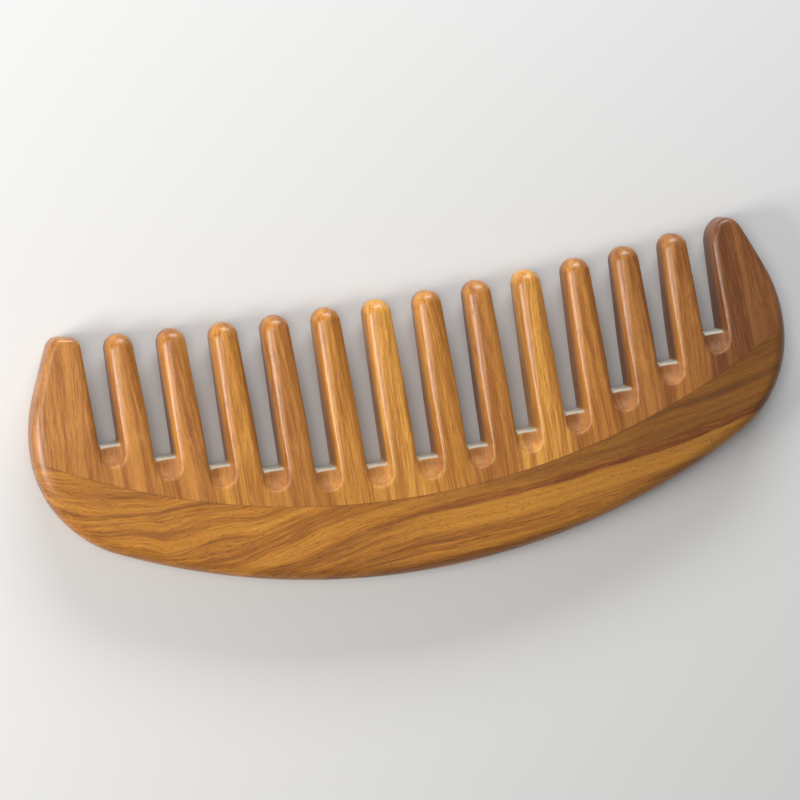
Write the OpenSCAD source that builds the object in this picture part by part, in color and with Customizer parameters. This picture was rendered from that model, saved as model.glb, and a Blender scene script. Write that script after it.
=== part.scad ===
// Wide tooth comb: a crescent back with a row of glued-in tooth staves.
// It lies flat: X runs along the comb, Y points to the tooth tips and Z is the thickness.
// The origin is the centre of the underside of its bounding box.

/* [Teeth] */
// Number of slim teeth between the two end teeth
slim_teeth = 12; // [8:2:14]
// Distance from one tooth to the next
tooth_pitch = 12; // [10.5:0.5:15]
// Length of the middle teeth, from the slot floor to the tip
tooth_len = 37.7; // [30:0.2:50]
// Width of the gap between two teeth at the slot floor
gap_w = 5; // [4.4:0.1:6]
// Width of a slim tooth at its tip
tip_w = 6.2; // [5:0.1:6.6]
// Thickness of every tooth at its tip
tip_t = 8; // [7.5:0.1:9]
// Radius along the edges of a tooth at its root
tooth_edge_r = 1.6; // [1:0.1:2]

/* [End teeth] */
// Width of an end tooth at its root
end_w = 15; // [13:0.1:22]
// Width of an end tooth at its tip
end_tip_w = 6.8; // [6:0.1:10]
// How much lower the inner corner of that tip lies
end_tip_drop = 1.2; // [0:0.1:2.5]
// How far the end teeth reach past the middle teeth
end_reach = 4.5; // [0:0.1:8]
// Radius of the curved outer side of an end tooth
side_r = 34; // [30:1:60]

/* [Back] */
// Thickness of the back and of the stave feet
body_t = 11; // [10:0.5:14]
// Depth of the back at its middle
back_depth = 17.6; // [15:0.2:22]
// Radius of the two lower corners
corner_r = 27; // [24:0.5:32]
// Radius of the rounded rim
rim_r = 3.4; // [2:0.1:3.6]

/* [Curves] */
// Height of the stave feet at the middle, from the seam to the slot floor
foot_depth = 8.2; // [7.6:0.1:12]
// Rise of the seam from its middle to the sides
seam_rise = 24; // [20:0.5:28]
// Rise of the slot floors from the middle slot to the outer slots
slot_rise = 16.2; // [13:0.2:18]
// Rise of the tips from the middle teeth to the outer slim teeth
tip_rise = 2.8; // [0:0.1:5]

/* [Joinery] */
// Thickness of the tongue on the staves
tongue_t = 4; // [3:0.2:5]
// Depth of the tongue
tongue_depth = 5; // [3:0.2:7]
// Clearance on each face of the tongue and at its foot
tongue_fit = 0.1; // [0.05:0.05:0.3]
// How far the groove stops short of the comb's sides
groove_stop = 9; // [6:0.5:12]
// Width of slot floor left on the stave at the left of each slot
floor_left = 0.2; // [0.1:0.1:2]

/* [Scoops] */
// Radius of the scoop cut below each slot on both faces
scoop_r = 2.9; // [2.5:0.1:3.2]
// Reach of the scoop below the slot floor
scoop_reach = 4.6; // [4:0.1:6.5]

/* [Hidden] */
$fa = 3;
$fs = 0.3;

// Facets round each ball inside a hull
BALL_FN = 24;
// How far cutters run past the faces they cut
OVER = 1;
// The seam is cut in short straight steps over this angle to both sides
SEAM_STEP = 1;
SEAM_REACH = 60;
// How far a tongue reaches up into its own foot
TONGUE_ROOT = 2;
// Number of steps along the back's arc, one corner and one side
ARC_STEPS = 30;
CORNER_STEPS = 12;
SIDE_STEPS = 4;
// Angle over which an end tooth's side is curved, before it runs straight to the tip
SIDE_SWEEP = 23;
// Radii of the inner and outer corner at the tip of an end tooth
END_INNER_R = 2.2;
END_OUTER_R = 1.8;

mid_z = body_t / 2;
outer_gap_x = slim_teeth / 2 * tooth_pitch;
outer_tooth_x = outer_gap_x - tooth_pitch / 2;
// Wall of the outer slot on the end tooth's side
root_x = outer_gap_x + gap_w / 2;
half_len = root_x + end_w;
root_w = tooth_pitch - gap_w;

// Heights above the lowest point of the back
widest_y = back_depth + seam_rise;
slot_mid_y = back_depth + foot_depth;
tip_mid_y = slot_mid_y + tooth_len;
top_y = tip_mid_y + end_reach;

// The outer edge is one arc that runs smoothly into the two corner arcs
corner_x = half_len - corner_r;
rim_arc_r = (corner_x ^ 2 + widest_y ^ 2 - corner_r ^ 2) / (2 * (widest_y - corner_r));
rim_half_angle = atan2(corner_x, rim_arc_r - widest_y);
seam_r = arc_radius(half_len, seam_rise);

function arc_radius(span, rise) = (span ^ 2 + rise ^ 2) / (2 * rise);

// Height that a shallow arc has gained at x, when it gains rise over span
function arc_height(x, span, rise) =
    rise == 0 ? 0 : arc_radius(span, rise) - sqrt(arc_radius(span, rise) ^ 2 - x ^ 2);

function gap_x(i) = (i - slim_teeth / 2) * tooth_pitch;
function joint_x(i) = gap_x(i) - gap_w / 2 + floor_left;
function slot_y(i) = slot_mid_y + arc_height(gap_x(i), outer_gap_x, slot_rise);
function tip_y(x) = tip_mid_y + arc_height(x, outer_tooth_x, tip_rise);

// Thickness of an end tooth at height y
function end_t(y) = body_t - (body_t - tip_t) * max(0, y - widest_y) / (top_y - widest_y);

// Everything on the tooth side of the seam, between two heights
module tooth_side(z_low, z_high, extra_r = 0) {
    r = (seam_r + extra_r) / cos(SEAM_STEP / 2);
    translate([0, back_depth + seam_r, z_low])
        linear_extrude(z_high - z_low)
            polygon([
                for (angle = [-SEAM_REACH:SEAM_STEP:SEAM_REACH])
                    r * [sin(angle), -cos(angle)]
            ]);
}

// Ball with its poles and its equator exactly at r
module ball(r) {
    rotate_extrude($fn = BALL_FN)
        intersection() {
            circle(r, $fn = BALL_FN);
            translate([0, -r])
                square([r, 2 * r]);
        }
}

// Two balls that round an upright edge of wood with thickness t about the middle plane
module edge_balls(x, y, r, t) {
    for (side = [-1, 1])
        translate([x, y, mid_z + side * (t / 2 - r)])
            ball(r);
}

// Balls along the rim of one corner, up to the widest point, that lie wholly beyond x_clear
module corner_balls(x_clear = 0) {
    for (i = [0:CORNER_STEPS]) {
        angle = rim_half_angle - 90 + i / CORNER_STEPS * (90 - rim_half_angle);
        x = corner_x + (corner_r - rim_r) * cos(angle);
        if (x - rim_r >= x_clear)
            edge_balls(x, widest_y + (corner_r - rim_r) * sin(angle), rim_r, body_t);
    }
}

// Balls along one side, from the widest point up to step number last
module side_balls(last) {
    for (i = [1:last]) {
        angle = i / SIDE_STEPS * SIDE_SWEEP;
        y = widest_y + (side_r - rim_r) * sin(angle);
        edge_balls(half_len - side_r + (side_r - rim_r) * cos(angle), y, rim_r, end_t(y));
    }
}

// The back before the seam is cut
module crescent() {
    hull() {
        for (i = [0:ARC_STEPS]) {
            angle = (2 * i / ARC_STEPS - 1) * rim_half_angle;
            edge_balls(
                (rim_arc_r - rim_r) * sin(angle),
                rim_arc_r - (rim_arc_r - rim_r) * cos(angle),
                rim_r, body_t
            );
        }
        for (side = [0, 1])
            mirror([side, 0, 0]) {
                corner_balls();
                side_balls(1);
            }
    }
}

// Strip below the seam that the tongues fill, between two x positions
module tongue_strip(x_low, x_high, fit) {
    intersection() {
        difference() {
            tooth_side(mid_z - tongue_t / 2 - fit, mid_z + tongue_t / 2 + fit, tongue_depth + fit);
            tooth_side(-OVER, body_t + OVER, -TONGUE_ROOT);
        }
        translate([x_low - fit, 0, 0])
            cube([x_high - x_low + 2 * fit, widest_y, body_t]);
    }
}

module back() {
    groove_x = half_len - groove_stop;
    color("#b0702c")
        place()
            difference() {
                crescent();
                tooth_side(-OVER, body_t + OVER);
                tongue_strip(-groove_x, groove_x, tongue_fit);
            }
}

// Round-ended trough below slot i, sunk into both faces
module scoop(i) {
    for (z = [0, body_t])
        translate([gap_x(i), slot_y(i) - scoop_reach + scoop_r, z])
            rotate([-90, 0, 0])
                rotate_extrude() {
                    square([scoop_r, scoop_reach - scoop_r]);
                    intersection() {
                        circle(scoop_r);
                        translate([0, -scoop_r])
                            square(scoop_r);
                    }
                }
}

// A slim tooth: flat faces with rounded edges at the root, nearly round at the tip
module slim_tooth(x, y_root, y_tip) {
    hull() {
        for (side = [-1, 1])
            edge_balls(x + side * (root_w / 2 - tooth_edge_r), y_root, tooth_edge_r, body_t);
        edge_balls(x, y_tip - tip_w / 2, tip_w / 2, tip_t);
    }
}

// Foot of a stave: a block with one step, where the slots beside the tooth differ in height
module foot(x_left, x_step, x_right, y_left, y_right) {
    linear_extrude(body_t)
        polygon([
            [x_left, 0], [x_right, 0], [x_right, y_right],
            [x_step, y_right], [x_step, y_left], [x_left, y_left]
        ]);
}

// Everything between two upright planes across the comb
module stave_room(x_low, x_high) {
    translate([x_low, 0, -OVER])
        cube([x_high - x_low, top_y + OVER, body_t + 2 * OVER]);
}

// Moves a shape from the building heights to the comb's own origin
module place() {
    translate([0, -top_y / 2, 0])
        children();
}

module tooth_stave(i) {
    x = (gap_x(i - 1) + gap_x(i)) / 2;
    y_left = slot_y(i - 1);
    y_right = slot_y(i);
    color(i % 2 == 0 ? "#c4883c" : "#b87a34")
        place() {
            difference() {
                intersection() {
                    union() {
                        foot(joint_x(i - 1), x, joint_x(i), y_left, y_right);
                        slim_tooth(x, min(y_left, y_right) - 2 * tooth_edge_r, tip_y(x));
                    }
                    tooth_side(-OVER, body_t + OVER);
                }
                scoop(i - 1);
                scoop(i);
            }
            tongue_strip(joint_x(i - 1), joint_x(i), 0);
        }
}

// An end tooth at the right, from its corner up to the tip, before the seam is cut
module wide_tooth() {
    tip_x = outer_gap_x + tooth_pitch / 2 - tip_w / 2;
    y_root = slot_y(slim_teeth) - 2 * tooth_edge_r;
    hull() {
        corner_balls(root_x);
        side_balls(SIDE_STEPS);
        edge_balls(root_x + tooth_edge_r, y_root, tooth_edge_r, end_t(y_root));
        edge_balls(
            tip_x + END_INNER_R,
            top_y - end_tip_drop - END_INNER_R,
            END_INNER_R, tip_t
        );
        edge_balls(
            tip_x + end_tip_w - END_OUTER_R,
            top_y - END_OUTER_R,
            END_OUTER_R, tip_t
        );
    }
}

// An end stave at the left (side = -1) or at the right (side = 1)
module end_stave(side) {
    i = side < 0 ? 0 : slim_teeth;
    tongue_x = half_len - groove_stop;
    foot_x = root_x + rim_r;
    x_seam = joint_x(i);
    x_low = side < 0 ? -foot_x : x_seam;
    x_high = side < 0 ? x_seam : foot_x;
    color("#b0742f")
        place() {
            difference() {
                intersection() {
                    union() {
                        mirror([side < 0 ? 1 : 0, 0, 0])
                            wide_tooth();
                        foot(x_low, x_low, x_high, slot_y(i), slot_y(i));
                    }
                    tooth_side(-OVER, body_t + OVER);
                    stave_room(side < 0 ? -half_len : x_seam, side < 0 ? x_seam : half_len);
                }
                scoop(i);
            }
            tongue_strip(side < 0 ? -tongue_x : x_seam, side < 0 ? x_seam : tongue_x, 0);
        }
}

back();
for (i = [1:slim_teeth])
    tooth_stave(i);
end_stave(-1);  // end_tooth_left
end_stave(1);  // end_tooth_right
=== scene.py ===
import math

import bmesh
import bpy
import numpy as np
from mathutils import Matrix, Vector


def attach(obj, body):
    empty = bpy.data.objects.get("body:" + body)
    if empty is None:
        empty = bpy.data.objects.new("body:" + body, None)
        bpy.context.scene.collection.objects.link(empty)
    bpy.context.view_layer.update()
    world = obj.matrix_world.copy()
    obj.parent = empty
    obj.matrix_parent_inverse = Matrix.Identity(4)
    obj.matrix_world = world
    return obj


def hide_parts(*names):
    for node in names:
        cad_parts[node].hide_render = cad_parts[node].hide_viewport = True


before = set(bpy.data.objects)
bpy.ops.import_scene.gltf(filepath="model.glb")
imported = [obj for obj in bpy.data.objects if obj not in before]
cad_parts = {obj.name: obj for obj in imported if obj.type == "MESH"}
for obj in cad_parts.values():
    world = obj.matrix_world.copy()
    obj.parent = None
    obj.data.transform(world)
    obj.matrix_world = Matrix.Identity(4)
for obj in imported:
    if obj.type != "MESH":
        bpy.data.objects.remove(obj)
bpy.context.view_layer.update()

# Sizes repeat the CAD's, in millimetres. Heights y are measured from the lowest point of the back,
# and z from the middle of the comb's thickness, until a mesh is written in metres.
MM = 0.001
SLIM_TEETH = 12
PITCH = 12.0
TOOTH_LEN = 37.7
GAP_W = 5.0
TIP_W = 6.2
TIP_T = 8.0
END_W = 15.0
END_TIP_W = 6.8
END_REACH = 4.5
SIDE_R = 34.0
BODY_T = 11.0
BACK_DEPTH = 17.6
CORNER_R = 27.0
RIM_R = 3.4
FOOT_DEPTH = 8.2
SEAM_RISE = 24.0
SLOT_RISE = 16.2
TIP_RISE = 2.8
FLOOR_LEFT = 0.2
SCOOP_R = 2.9
SCOOP_REACH = 4.6

# Soft details that the CAD leaves out
EDGE_R = 1.45          # round-over along a tooth at its root
MID_EDGE_R = 2.5       # further up
TIP_EDGE_R = 2.9       # and at its tip
END_EDGE_R = 1.3       # round-over of an end tooth beside the slot and at the tip
# Shape of each end tooth's tip: its fall towards the comb's middle, the power of that fall,
# and the blends of its inner and outer corner
TIP_LEFT = (0.9, 1.0, 2.0, 2.4)
TIP_RIGHT = (1.5, 1.6, 4.2, 3.0)
SIDE_ANGLE = math.radians(23)   # where an end tooth's side runs straight
SLOT_FILLET = 0.9      # blend between the slot floor and a tooth
SCOOP_BLEND = 0.7      # blend round the mouth of a scoop
PEAK_IN = 1.6          # from an end tooth's outer corner in to its highest point
MID_EDGE_AT = 0.8      # share of a slim tooth's length over which its edge widens
TIP_EDGE_FROM = 7.5    # length below the tip over which it becomes nearly round
SLIM_THIN_OVER = 0.2   # share of a slim tooth's length that eases into its taper
END_THIN_OVER = 0.3    # the same for an end tooth
OUTER_EDGE_OVER = 20.0   # length over which an end tooth's outer edge grows finer
OUTER_EDGE_LOW = 2.0     # how far below the widest point that starts
OUTER_EDGE_REACH = 1.4   # how quickly the outer edge takes over across the tooth
OUTER_BLEND_FROM = 14.0  # distance below the top where the outer corner's blend starts
OUTER_BLEND_OVER = 8.0
RIM_EDGE_BELOW = 3.0     # distance below the slot floor where the rim's radius takes over
RIM_EDGE_OVER = 5.0
TINY = 1e-3

# The mesher
CELL = 0.32            # grid step
GRID_PAD = 1.2         # room round the comb
GRID_BELOW = 8.0       # more room below, where the grid follows the seam
SURFACE_STEPS = 3      # steps that move the vertices onto the surface
SLOPE_STEP = 0.004     # distance over which the field's slope is measured
LEAST_SLOPE2 = 0.25
SEAM_OVER = 2          # how far the seam and the outer pieces run past the comb's ends
WINDOW_PAD = 1.5       # surface kept round a piece before it is cut
FAR = 99
CUT_TOLERANCE = 1e-5


def arc_radius(span, rise):
    return (span ** 2 + rise ** 2) / (2 * rise)


def arc_height(x, span, rise):
    r = arc_radius(span, rise)
    return r - np.sqrt(r * r - x * x)


outer_gap_x = SLIM_TEETH / 2 * PITCH
outer_tooth_x = outer_gap_x - PITCH / 2
half_len = outer_gap_x + GAP_W / 2 + END_W
root_half = (PITCH - GAP_W) / 2
widest_y = BACK_DEPTH + SEAM_RISE
slot_mid_y = BACK_DEPTH + FOOT_DEPTH
tip_mid_y = slot_mid_y + TOOTH_LEN
top_y = tip_mid_y + END_REACH
corner_x = half_len - CORNER_R
rim_arc_r = (corner_x ** 2 + widest_y ** 2 - CORNER_R ** 2) / (2 * (widest_y - CORNER_R))
rim_half_angle = math.atan2(corner_x, rim_arc_r - widest_y)


def gap_x(i):
    return (i - SLIM_TEETH / 2) * PITCH


def joint_x(i):
    return gap_x(i) - GAP_W / 2 + FLOOR_LEFT


def slot_y(x):
    return slot_mid_y + arc_height(x, outer_gap_x, SLOT_RISE)


def seam_y(x):
    x = np.clip(x, -half_len - SEAM_OVER, half_len + SEAM_OVER)
    return BACK_DEPTH + arc_height(x, half_len, SEAM_RISE)


def smooth_step(t):
    t = np.clip(t, 0, 1)
    return t * t * (3 - 2 * t)


def smooth_min(a, b, k):
    h = np.maximum(k - np.abs(a - b), 0) / k
    return np.minimum(a, b) - h * h * k / 4


def smooth_max(a, b, k):
    return -smooth_min(-a, -b, k)


def outline(x, y):
    """Signed distance in plan to the comb's outer edge, up the sides of the end teeth."""
    ax = np.abs(x)
    low = np.hypot(ax, y - rim_arc_r) - rim_arc_r
    corner = np.hypot(ax - corner_x, y - widest_y) - CORNER_R
    on_arc = ax < np.tan(rim_half_angle) * (rim_arc_r - y)
    below = np.where(on_arc, low, corner)
    cx = half_len - SIDE_R
    round_side = np.hypot(np.maximum(ax - cx, 0), y - widest_y) - SIDE_R
    straight = (ax - cx) * math.cos(SIDE_ANGLE) + (y - widest_y) * math.sin(SIDE_ANGLE) - SIDE_R
    turned = (y - widest_y) > np.maximum(ax - cx, 0) * math.tan(SIDE_ANGLE)
    above = np.where(turned, straight, round_side)
    return np.where(y < widest_y, below, above)


def field(x, y, z):
    """Signed distance-like field of the whole comb, negative inside."""
    ax = np.abs(x)
    g = np.clip(np.round(x / PITCH), -SLIM_TEETH / 2, SLIM_TEETH / 2) * PITCH
    c = (np.clip(np.floor(x / PITCH), -SLIM_TEETH / 2, SLIM_TEETH / 2 - 1) + 0.5) * PITCH
    floor = slot_y(g)

    # slim teeth in plan
    root = slot_mid_y + arc_height(c, outer_gap_x, SLOT_RISE)
    tip = tip_mid_y + arc_height(c, outer_tooth_x, TIP_RISE)
    up = np.clip((y - root) / (tip - root), 0, 1)
    half = root_half - (root_half - TIP_W / 2) * up
    r = TIP_W / 2
    qx, qy = np.abs(x - c) - (half - r), y - (tip - r)
    slim = np.hypot(np.maximum(qx, 0), np.maximum(qy, 0)) + np.minimum(np.maximum(qx, qy), 0) - r
    slim_edge = EDGE_R + (MID_EDGE_R - EDGE_R) * smooth_step(up / MID_EDGE_AT)
    slim_edge = slim_edge + (TIP_EDGE_R - slim_edge) * smooth_step(1 - (tip - y) / TIP_EDGE_FROM)
    slim_half_t = BODY_T / 2 - (BODY_T - TIP_T) / 2 * up * smooth_step(up / SLIM_THIN_OVER)

    # end teeth in plan
    root_x = outer_gap_x + GAP_W / 2
    tip_x = outer_gap_x + PITCH / 2 - TIP_W / 2
    end_up = np.clip((y - slot_y(outer_gap_x)) / (top_y - slot_y(outer_gap_x)), 0, 1)
    inner = root_x + (tip_x - root_x) * end_up - ax
    side = outline(x, y)
    fall, power, inner_blend, outer_blend = (np.where(x < 0, p, q) for p, q in zip(TIP_LEFT, TIP_RIGHT))
    peak = tip_x + END_TIP_W - PEAK_IN
    top_line = top_y - fall * np.clip((peak - ax) / (END_TIP_W - PEAK_IN), 0, 2) ** power
    end = smooth_max(inner, y - top_line, inner_blend)
    across = np.clip(-inner / np.maximum(-inner - side, 1e-6), 0, 1)
    finer = smooth_step((y - widest_y + OUTER_EDGE_LOW) / OUTER_EDGE_OVER)
    outer_edge = RIM_R + (END_EDGE_R - RIM_R) * finer
    end_edge = END_EDGE_R + (outer_edge - END_EDGE_R) * smooth_step(across * OUTER_EDGE_REACH)
    t_up = np.clip((y - widest_y) / (top_y - widest_y), 0, 1)
    end_half_t = BODY_T / 2 - (BODY_T - TIP_T) / 2 * t_up * smooth_step(t_up / END_THIN_OVER)

    is_end = ax > outer_gap_x
    teeth = np.where(is_end, end, slim)
    plan = smooth_min(teeth, y - floor, SLOT_FILLET)
    near_top = smooth_step((y - top_y + OUTER_BLEND_FROM) / OUTER_BLEND_OVER)
    plan = smooth_max(plan, side, outer_blend * near_top + TINY)

    edge = np.where(is_end, end_edge, slim_edge)
    body = smooth_step((floor - RIM_EDGE_BELOW - y) / RIM_EDGE_OVER)
    edge = edge + (RIM_R - edge) * body
    half_t = np.where(is_end, end_half_t, slim_half_t)

    q0, q1 = plan + edge, np.abs(z) - (half_t - edge)
    solid = np.minimum(np.maximum(q0, q1), 0) + np.hypot(np.maximum(q0, 0), np.maximum(q1, 0)) - edge

    # scoops below the slots, in both faces
    low = floor - SCOOP_REACH + SCOOP_R
    scoop = np.sqrt((x - g) ** 2 + np.minimum(y - low, 0) ** 2 + (np.abs(z) - BODY_T / 2) ** 2) - SCOOP_R
    return smooth_max(solid, -scoop, SCOOP_BLEND)


def comb_surface():
    """Quads over the comb's surface, from a grid that follows the seam's curve.

    The vertices hold x, height above the seam and z.
    """
    gx = np.arange(-half_len - GRID_PAD, half_len + GRID_PAD, CELL)
    gu = np.arange(-BACK_DEPTH - GRID_BELOW, top_y - BACK_DEPTH + GRID_PAD, CELL)
    layers = int(math.ceil((BODY_T / 2 + GRID_PAD) / CELL))
    gz = (np.arange(layers) + 0.5) * CELL
    x, u = np.meshgrid(gx, gu, indexing="ij")
    y = u + seam_y(x)
    upper = np.stack([field(x, y, z) for z in gz], axis=2)
    values = np.concatenate([upper[:, :, ::-1], upper], axis=2)
    gz = np.concatenate([-gz[::-1], gz])
    inside = values < 0

    # one vertex in each cell that the surface crosses, at the mean of the crossings
    nx, nu, nz = values.shape
    total = np.zeros((nx - 1, nu - 1, nz - 1, 3))
    count = np.zeros((nx - 1, nu - 1, nz - 1))
    corner = np.array([0, 1])
    for axis in range(3):
        others = [a for a in range(3) if a != axis]
        for p in corner:
            for q in corner:
                first = [slice(0, -1)] * 3
                first[others[0]] = slice(p, values.shape[others[0]] - 1 + p)
                first[others[1]] = slice(q, values.shape[others[1]] - 1 + q)
                second = list(first)
                second[axis] = slice(1, None)
                a, b = values[tuple(first)], values[tuple(second)]
                cross = (a < 0) != (b < 0)
                t = np.where(cross, a / np.where(cross, a - b, 1), 0)
                total[..., axis] += np.where(cross, t, 0)
                total[..., others[0]] += np.where(cross, p, 0)
                total[..., others[1]] += np.where(cross, q, 0)
                count += cross
    used = count > 0
    index = -np.ones(count.shape, np.int64)
    index[used] = np.arange(used.sum())
    where = np.argwhere(used)
    offset = total[used] / count[used][:, None]
    verts = np.empty((len(where), 3))
    verts[:, 0] = gx[0] + (where[:, 0] + offset[:, 0]) * CELL
    verts[:, 1] = gu[0] + (where[:, 1] + offset[:, 1]) * CELL
    verts[:, 2] = gz[0] + (where[:, 2] + offset[:, 2]) * CELL

    quads = []
    for axis in range(3):
        first, second = [slice(1, -1)] * 3, [slice(1, -1)] * 3
        first[axis], second[axis] = slice(0, -1), slice(1, None)
        a, b = inside[tuple(first)], inside[tuple(second)]
        for flip, cross in ((False, a & ~b), (True, ~a & b)):
            at = np.argwhere(cross)
            at[:, [k for k in range(3) if k != axis]] += 1
            o1, o2 = [(1, 2), (2, 0), (0, 1)][axis]
            ring = []
            for d1, d2 in ((0, 0), (-1, 0), (-1, -1), (0, -1)):
                cell = at.copy()
                cell[:, o1] += d1
                cell[:, o2] += d2
                ring.append(index[cell[:, 0], cell[:, 1], cell[:, 2]])
            ring = np.stack(ring, axis=1)
            quads.append(ring[:, ::-1] if flip else ring)
    quads = np.concatenate(quads)

    # move the vertices onto the exact surface
    eps = SLOPE_STEP
    for _ in range(SURFACE_STEPS):
        px, py, pz = verts[:, 0], verts[:, 1] + seam_y(verts[:, 0]), verts[:, 2]
        f = field(px, py, pz)
        grad = np.stack([
            (field(px + eps, py, pz) - field(px - eps, py, pz)) / (2 * eps),
            (field(px, py + eps, pz) - field(px, py - eps, pz)) / (2 * eps),
            (field(px, py, pz + eps) - field(px, py, pz - eps)) / (2 * eps),
        ], axis=1)
        length2 = np.maximum((grad ** 2).sum(axis=1), LEAST_SLOPE2)
        step = np.clip(f / length2, -CELL / 2, CELL / 2)[:, None] * grad
        px, py, pz = px - step[:, 0], py - step[:, 1], pz - step[:, 2]
        verts = np.stack([px, py - seam_y(px), pz], axis=1)
    return verts, quads


def cut_piece(name, verts, quads, planes, window):
    """The part of the surface inside the planes, closed with flat caps, as a mesh in metres."""
    centre = verts[quads].mean(axis=1)
    keep = np.ones(len(quads), bool)
    for axis, low, high in window:
        keep &= (centre[:, axis] > low - WINDOW_PAD) & (centre[:, axis] < high + WINDOW_PAD)
    faces = quads[keep]
    ids, faces = np.unique(faces, return_inverse=True)
    faces = faces.reshape(-1, 4)
    bm = bmesh.new()
    bv = [bm.verts.new(v) for v in verts[ids]]
    for f in faces:
        bm.faces.new([bv[k] for k in f])
    for face in bm.faces:
        face.smooth = True
    for point, normal in planes:
        cut = bmesh.ops.bisect_plane(
            bm, geom=bm.verts[:] + bm.edges[:] + bm.faces[:], dist=CUT_TOLERANCE,
            plane_co=point, plane_no=normal, clear_outer=True)
        edges = [e for e in cut["geom_cut"] if isinstance(e, bmesh.types.BMEdge)]
        # The cap is split into triangles while it is still flat, before the seam's curve is put back
        made = bmesh.ops.holes_fill(bm, edges=edges, sides=0)
        made = bmesh.ops.triangulate(bm, faces=made["faces"], quad_method="BEAUTY", ngon_method="BEAUTY")
        for face in made["faces"]:
            face.smooth = False
            for e in face.edges:
                e.smooth = False
    loose = [v for v in bm.verts if not v.link_faces]
    bmesh.ops.delete(bm, geom=loose, context="VERTS")
    for v in bm.verts:
        x, u, z = v.co
        v.co = (x * MM, (u + float(seam_y(x)) - top_y / 2) * MM, (z + BODY_T / 2) * MM)
    bmesh.ops.recalc_face_normals(bm, faces=bm.faces[:])
    mesh = bpy.data.meshes.new(name)
    bm.to_mesh(mesh)
    bm.free()
    piece = bpy.data.objects.new(name, mesh)
    bpy.context.scene.collection.objects.link(piece)
    return piece


verts, quads = comb_surface()
pieces = {}
pieces["back"] = cut_piece("wood_back", verts, quads, [((0, 0, 0), (0, 1, 0))], [(1, -FAR, 0)])
joints_x = [joint_x(i) for i in range(SLIM_TEETH + 1)]
bounds_x = [-half_len - SEAM_OVER] + joints_x + [half_len + SEAM_OVER]
names = ["end_tooth_left"] + [f"tooth_{i}" for i in range(1, SLIM_TEETH + 1)] + ["end_tooth_right"]
for name, low_x, high_x in zip(names, bounds_x[:-1], bounds_x[1:]):
    planes = []
    if low_x > -half_len:
        planes.append(((low_x, 0, 0), (-1, 0, 0)))
    if high_x < half_len:
        planes.append(((high_x, 0, 0), (1, 0, 0)))
    planes.append(((0, 0, 0), (0, -1, 0)))
    pieces[name] = cut_piece("wood_" + name, verts, quads, planes, [(0, low_x, high_x)])


# ---------------------------------------------------------------- materials
class Graph:
    """Short way to write a material's nodes. A socket or a plain value goes in, a socket comes out."""

    def __init__(self, name):
        self.material = bpy.data.materials.new(name)
        self.material.use_nodes = True
        self.tree = self.material.node_tree
        self.shader = self.tree.nodes["Principled BSDF"]

    def put(self, node, key, value):
        if isinstance(value, bpy.types.NodeSocket):
            self.tree.links.new(value, node.inputs[key])
        elif value is not None:
            node.inputs[key].default_value = value

    def math(self, operation, a, b=None, c=None):
        node = self.tree.nodes.new("ShaderNodeMath")
        node.operation = operation
        for key, value in enumerate((a, b, c)):
            self.put(node, key, value)
        return node.outputs[0]

    def vector(self, x, y, z):
        node = self.tree.nodes.new("ShaderNodeCombineXYZ")
        for key, value in enumerate((x, y, z)):
            self.put(node, key, value)
        return node.outputs[0]

    def scaled(self, value, factor, shift=0.0):
        return self.math("MULTIPLY_ADD", value, factor, shift)

    def noise(self, x, y, z, detail=3.0, roughness=0.55):
        node = self.tree.nodes.new("ShaderNodeTexNoise")
        self.put(node, "Vector", self.vector(x, y, z))
        node.inputs["Scale"].default_value = 1.0
        node.inputs["Detail"].default_value = detail
        node.inputs["Roughness"].default_value = roughness
        return node.outputs[0]

    def span(self, value, low, high, to_low=0.0, to_high=1.0):
        node = self.tree.nodes.new("ShaderNodeMapRange")
        node.interpolation_type = "SMOOTHSTEP"
        for key, v in enumerate((value, low, high, to_low, to_high)):
            self.put(node, key, v)
        return node.outputs[0]

    def ramp(self, value, stops):
        node = self.tree.nodes.new("ShaderNodeValToRGB")
        ramp = node.color_ramp
        while len(ramp.elements) < len(stops):
            ramp.elements.new(1.0)
        for element, (at, colour) in zip(ramp.elements, stops):
            element.position = at
            element.color = (*colour, 1)
        self.put(node, 0, value)
        return node.outputs[0]

    def mix(self, factor, a, b, blend="MIX"):
        node = self.tree.nodes.new("ShaderNodeMix")
        node.data_type = "RGBA"
        node.blend_type = blend
        for key, value in ((0, factor), (6, a), (7, b)):
            self.put(node, key, (*value, 1) if isinstance(value, tuple) else value)
        return node.outputs[2]

    def place_mm(self):
        """x, y (from the back's lowest point) and z, in millimetres."""
        coordinates = self.tree.nodes.new("ShaderNodeTexCoord")
        split = self.tree.nodes.new("ShaderNodeSeparateXYZ")
        self.put(split, 0, coordinates.outputs["Object"])
        x, y, z = (self.scaled(o, 1 / MM) for o in split.outputs)
        return x, self.math("ADD", y, top_y / 2), z


def finish_wood(g, colour, fibre, pores, seam_gap, dull=0.0):
    """Satin varnish over the grain, with a fine dark glue line at the seam."""
    line = g.span(g.math("ABSOLUTE", seam_gap), 0.03, 0.16, 0.42, 0.0)
    colour = g.mix(line, colour, GLUE)
    g.put(g.shader, "Base Color", colour)
    rough = g.math("ADD", g.span(fibre, 0.3, 0.7, 0.31, 0.39), g.scaled(pores, 0.12))
    g.put(g.shader, "Roughness", g.math("ADD", rough, dull))
    g.shader.inputs["Specular IOR Level"].default_value = 0.55
    bump = g.tree.nodes.new("ShaderNodeBump")
    bump.inputs["Strength"].default_value = 0.3
    bump.inputs["Distance"].default_value = 0.04 * MM
    g.put(bump, "Height", g.math("SUBTRACT", fibre, g.scaled(pores, 0.8)))
    g.put(g.shader, "Normal", bump.outputs[0])
    return g.material


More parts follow.
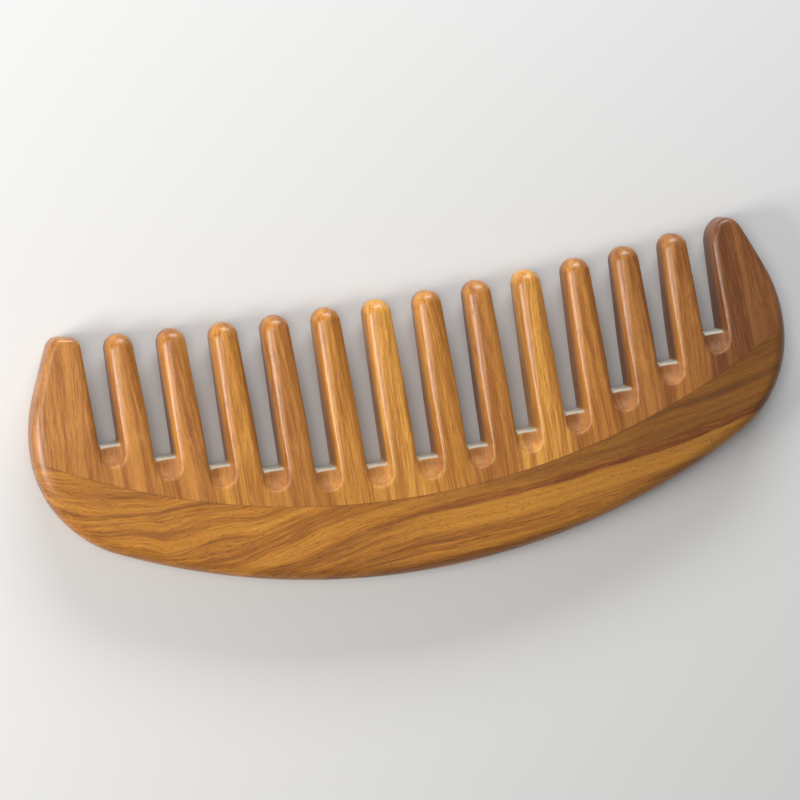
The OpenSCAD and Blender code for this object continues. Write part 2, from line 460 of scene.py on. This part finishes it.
def slot_masks(g, x, y, z, gap):
    """Where the scoop under slot number gap is, and where the slot's floor is."""
    gx = gap_x(gap)
    floor = float(slot_y(gx))
    low = floor - SCOOP_REACH + SCOOP_R
    dx = g.math("SUBTRACT", x, gx)
    dy = g.math("MINIMUM", g.math("SUBTRACT", y, low), 0.0)
    from_mid = g.math("ABSOLUTE", g.math("SUBTRACT", z, BODY_T / 2))
    length = g.tree.nodes.new("ShaderNodeVectorMath")
    length.operation = "LENGTH"
    g.put(length, 0, g.vector(dx, dy, g.math("SUBTRACT", from_mid, BODY_T / 2)))
    scoop = g.math("MULTIPLY", g.span(length.outputs["Value"], SCOOP_R, SCOOP_R + 0.5, 1.0, 0.0),
                   g.span(y, floor - 0.2, floor + 0.5, 1.0, 0.0))
    # bed is the slot's floor, where a painted pale reflection of the window light goes
    between = g.span(g.math("ABSOLUTE", dx), GAP_W / 2 - 0.5, GAP_W / 2, 1.0, 0.0)
    at_floor = g.math("MULTIPLY", g.span(y, floor - 0.6, floor - 0.2),
                      g.span(y, floor + 0.1, floor + 0.5, 1.0, 0.0))
    bed = g.math("MULTIPLY", between, at_floor)
    return scoop, bed


def seam_gap(g, x, y):
    """Height above the seam, which is an arc."""
    r = arc_radius(half_len, SEAM_RISE)
    drop = g.math("SQRT", g.math("SUBTRACT", r * r, g.math("MULTIPLY", x, x)))
    return g.math("SUBTRACT", g.math("ADD", y, drop), BACK_DEPTH + r)


def tooth_wood(name, gold, red, dark, tilt, seed, gaps):
    """Straight grain that runs up the tooth. The scoops are duller, and the slot floors carry a painted
    pale reflection of the window light.
    """
    g = Graph(name)
    x, y, z = g.place_mm()
    sway = g.noise(g.scaled(x, 0.05, seed), g.scaled(y, 0.035), g.scaled(z, 0.05), detail=2)
    ax = g.math("ADD", g.math("ADD", x, g.scaled(y, tilt)), g.scaled(sway, 2.0))
    band = g.noise(g.scaled(ax, 0.42, seed * 3), g.scaled(y, 0.010), g.scaled(z, 0.25, seed),
                   detail=3, roughness=0.6)
    fibre = g.noise(g.scaled(ax, 3.4, seed), g.scaled(y, 0.09), g.scaled(z, 3.0), detail=5, roughness=0.7)
    fleck = g.noise(g.scaled(ax, 5.5, seed * 2), g.scaled(y, 0.55), g.scaled(z, 5.5),
                    detail=2, roughness=0.6)
    pores = g.span(fleck, 0.58, 0.72)
    tone = g.math("ADD", g.scaled(band, 0.6), g.scaled(fibre, 0.6, -0.1))
    bright = tuple(min(1, c * 1.28) for c in gold)
    colour = g.ramp(tone, [(0.30, dark), (0.44, red), (0.56, gold), (0.72, bright)])
    colour = g.mix(g.scaled(pores, 0.5), colour, tuple(c * 0.35 for c in red))
    dull = 0.0
    grit = g.noise(g.scaled(x, 2.2), g.scaled(y, 2.2), g.scaled(z, 2.2, seed), detail=3, roughness=0.7)
    for gap in gaps:
        scoop, bed = slot_masks(g, x, y, z, gap)
        sanded = g.ramp(grit, [(0.36, tuple(c * 0.5 for c in SANDED)), (0.62, SANDED)])
        colour = g.mix(g.scaled(scoop, 0.28), colour, sanded)
        # painted reflection: a pale bluish strip on the slot floor stands in for the window light it
        # reflects
        colour = g.mix(g.scaled(bed, 0.8), colour, PAINTED_FLOOR_REFLECTION)
        dull = g.math("ADD", dull, g.math("MAXIMUM", g.scaled(scoop, 0.32), g.scaled(bed, 0.15)))
    return finish_wood(g, colour, fibre, pores, seam_gap(g, x, y), dull)


def back_wood(name, seed):
    """Long grain with a figure at the left. At the right a dark red streak runs over a painted highlight
    band along the rounded lower edge; the back darkens towards the right, partly its own tone and partly
    painted shade, and painted shade darkens it along the lower edge.
    """
    g = Graph(name)
    x, y, z = g.place_mm()
    right = g.math("MAXIMUM", g.scaled(x, 1.0, 4.0), 0.0)
    left = g.math("MINIMUM", g.scaled(x, 1.0, 4.0), 0.0)
    far_left = g.math("MAXIMUM", g.scaled(x, -1.0, -64.0), 0.0)
    rise = g.math("ADD", g.math("DIVIDE", g.math("MULTIPLY", right, right), 740.0), g.scaled(left, 0.11))
    rise = g.math("ADD", rise, g.scaled(far_left, 0.45))
    swirl = g.noise(g.scaled(x, 0.024, seed), g.scaled(y, 0.06), g.scaled(z, 0.05),
                    detail=2, roughness=0.5)
    swirl = g.math("MULTIPLY", g.scaled(swirl, 13.0, -6.5), g.span(x, -70.0, 25.0, 1.0, 0.12))
    v = g.math("ADD", g.math("SUBTRACT", y, rise), swirl)
    ripple = g.noise(g.scaled(x, 0.07, seed * 2), g.scaled(v, 0.5), g.scaled(z, 0.3), detail=3)
    w = g.math("ADD", v, g.scaled(ripple, 1.6, -0.8))
    band = g.noise(g.scaled(x, 0.008, seed * 3), g.scaled(w, 0.42), g.scaled(z, 0.10),
                   detail=4, roughness=0.62)
    fibre = g.noise(g.scaled(x, 0.11, seed), g.scaled(w, 3.2), g.scaled(z, 1.6), detail=5, roughness=0.72)
    fleck = g.noise(g.scaled(x, 0.8, seed * 2), g.scaled(w, 5.5), g.scaled(z, 5.5),
                    detail=2, roughness=0.6)
    pores = g.span(fleck, 0.55, 0.70)
    tone = g.math("ADD", g.scaled(band, 0.75), g.scaled(fibre, 0.6, -0.175))
    colour = g.ramp(tone, [(0.32, BACK_DARK), (0.44, BACK_RED), (0.56, BACK_GOLD), (0.74, BACK_LIGHT)])
    on_right = g.span(x, -30.0, 20.0)
    # painted highlight: a bright band just above the lower edge at the right stands in for light on its
    # rounded face
    gold = g.math("MULTIPLY", g.span(w, 7.0, 9.0), g.span(w, 12.4, 13.1, 1.0, 0.0))
    colour = g.mix(g.math("MULTIPLY", g.scaled(gold, 0.6), on_right), colour, BACK_LIGHT)
    olive = g.math("MULTIPLY", g.span(w, 14.0, 15.5), on_right)
    colour = g.mix(g.scaled(olive, 0.5), colour, BACK_OLIVE)
    streak = g.math("MULTIPLY", g.span(w, 12.7, 13.2), g.span(w, 13.6, 15.2, 1.0, 0.0))
    streak = g.math("MULTIPLY", streak, g.span(fibre, 0.38, 0.58, 1.0, 0.35))
    streak = g.math("MULTIPLY", streak, on_right)
    colour = g.mix(g.scaled(streak, 0.85), colour, BACK_STREAK)
    colour = g.mix(g.scaled(pores, 0.6), colour, tuple(c * 0.4 for c in BACK_RED))
    # darker towards the right end, partly the wood's own darker tone and partly painted fall-off of the
    # light; darker in the lowest 7 mm, painted shade under the rounded lower edge
    shade_and_tone = g.math("ADD", g.span(x, -10.0, 85.0), g.span(y, 7.0, 1.0, 0.0, 0.5))
    colour = g.mix(g.scaled(shade_and_tone, 0.52), colour, BACK_SHADE_AND_TONE, "MULTIPLY")
    return finish_wood(g, colour, fibre, pores, seam_gap(g, x, y))


GLUE = (0.07, 0.025, 0.008)
SANDED = (0.42, 0.19, 0.068)
# Painted reflection: the pale bluish colour of the window light seen in the slot floors
PAINTED_FLOOR_REFLECTION = (0.50, 0.52, 0.44)
BACK_DARK = (0.13, 0.045, 0.007)
BACK_RED = (0.27, 0.092, 0.012)
BACK_GOLD = (0.42, 0.165, 0.018)
BACK_LIGHT = (0.56, 0.25, 0.032)
BACK_OLIVE = (0.23, 0.095, 0.016)
# Painted shade together with the wood's darker tone, multiplied over the back
BACK_SHADE_AND_TONE = (0.30, 0.24, 0.18)
BACK_STREAK = (0.17, 0.030, 0.006)
HONEY = (0.50, 0.218, 0.034)
STRAW = (0.62, 0.30, 0.055)
OCHRE = (0.425, 0.175, 0.032)
AMBER = (0.36, 0.145, 0.030)
RUSSET = (0.21, 0.078, 0.020)
# How much darker the red and the dark grain are than a stave's light tone, in each colour channel
RED_SHARE = (0.68, 0.56, 0.48)
DARK_SHARE = (0.44, 0.34, 0.30)
# The light tone of each stave from left to right, and how its grain leans
STAVES = [
    (OCHRE, -0.07), (OCHRE, 0.03), (OCHRE, 0.05), (HONEY, -0.02), (OCHRE, 0.04),
    (HONEY, 0.02), (STRAW, -0.03), (HONEY, 0.05), (OCHRE, 0.02), (STRAW, -0.02),
    (OCHRE, 0.04), (AMBER, 0.02), (AMBER, -0.03), (RUSSET, 0.06),
]

for piece_name, piece in pieces.items():
    if piece_name == "back":
        material, slot_name = back_wood("varnished_back", 4.3), "back_wood"
    else:
        k = names.index(piece_name)
        light, lean = STAVES[k]
        red = tuple(c * f for c, f in zip(light, RED_SHARE))
        dark = tuple(c * f for c, f in zip(light, DARK_SHARE))
        material = tooth_wood(f"varnished_stave_{k}", light, red, dark, lean, 2.7 * k + 1.3,
                              [i for i in (k - 1, k) if 0 <= i <= SLIM_TEETH])
        slot_name = "end_wood" if piece_name.startswith("end") else "tooth_wood"
    piece.data.materials.append(material)
    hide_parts(piece_name)
    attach(piece, "root")


# ---------------------------------------------------------------- floor, light and camera
def floor_piece():
    """A plain pale floor under the comb, which isn't part of it."""
    bm = bmesh.new()
    size = 3.0
    for x, y in ((-size, -size), (size, -size), (size, size), (-size, size)):
        bm.verts.new((x, y, 0))
    bm.faces.new(bm.verts[:])
    mesh = bpy.data.meshes.new("floor")
    bm.to_mesh(mesh)
    bm.free()
    obj = bpy.data.objects.new("floor", mesh)
    bpy.context.scene.collection.objects.link(obj)
    mat = bpy.data.materials.new("floor_paper")
    mat.use_nodes = True
    mat.node_tree.nodes["Principled BSDF"].inputs["Base Color"].default_value = (0.62, 0.62, 0.62, 1)
    mat.node_tree.nodes["Principled BSDF"].inputs["Roughness"].default_value = 0.9
    mesh.materials.append(mat)


floor_piece()


def area_light(name, direction, distance, size, power, colour=(1, 1, 1), size_y=None):
    data = bpy.data.lights.new(name, "AREA")
    data.energy = power
    data.color = colour
    data.size = size
    if size_y:
        data.shape = "RECTANGLE"
        data.size_y = size_y
    obj = bpy.data.objects.new(name, data)
    d = Vector(direction).normalized()
    obj.location = d * distance
    obj.rotation_euler = d.to_track_quat("Z", "Y").to_euler()
    bpy.context.scene.collection.objects.link(obj)


area_light("key", (-1.0, -0.02, 0.52), 0.60, 0.22, 3.0, (1.0, 0.96, 0.90), 0.28)
area_light("left_soft", (-0.36, 0.15, 1.0), 0.85, 0.30, 2.3, (1.0, 0.96, 0.91))
area_light("window", (0.15, 1.0, 0.42), 0.60, 0.50, 3.6, (0.95, 0.98, 1.0), 0.16)
world = bpy.data.worlds.new("studio")
world.use_nodes = True
world.node_tree.nodes["Background"].inputs["Color"].default_value = (0.92, 0.95, 1.0, 1)
world.node_tree.nodes["Background"].inputs["Strength"].default_value = 0.26
bpy.context.scene.world = world
bpy.context.scene.view_settings.view_transform = "Standard"

FROM_LEFT = math.radians(12.6)       # the camera looks from this far to the left of straight on
FROM_TIPS = math.radians(7.0)        # and from this far towards the tips
ROLL = math.radians(10.65)           # the comb's length rises this much to the right
DISTANCE = 0.918
AIM = Vector((-0.0036, 0.0056, BODY_T / 2 * MM))

back_dir = Vector((
    -math.sin(FROM_LEFT) * math.cos(FROM_TIPS),
    math.sin(FROM_TIPS),
    math.cos(FROM_LEFT) * math.cos(FROM_TIPS),
))
right0 = Vector((1, 0, 0)) - back_dir * back_dir.x
right0.normalize()
up0 = back_dir.cross(right0)
right = right0 * math.cos(ROLL) - up0 * math.sin(ROLL)
up = back_dir.cross(right)
camera_data = bpy.data.cameras.new("camera")
camera_data.lens = 180
camera_data.sensor_width = 36
camera_data.clip_start = 0.01
camera = bpy.data.objects.new("camera", camera_data)
bpy.context.scene.collection.objects.link(camera)
pose = Matrix((right, up, back_dir)).transposed().to_4x4()
pose.translation = AIM + back_dir * DISTANCE
camera.matrix_world = pose
bpy.context.scene.camera = camera

bpy.context.view_layer.update()
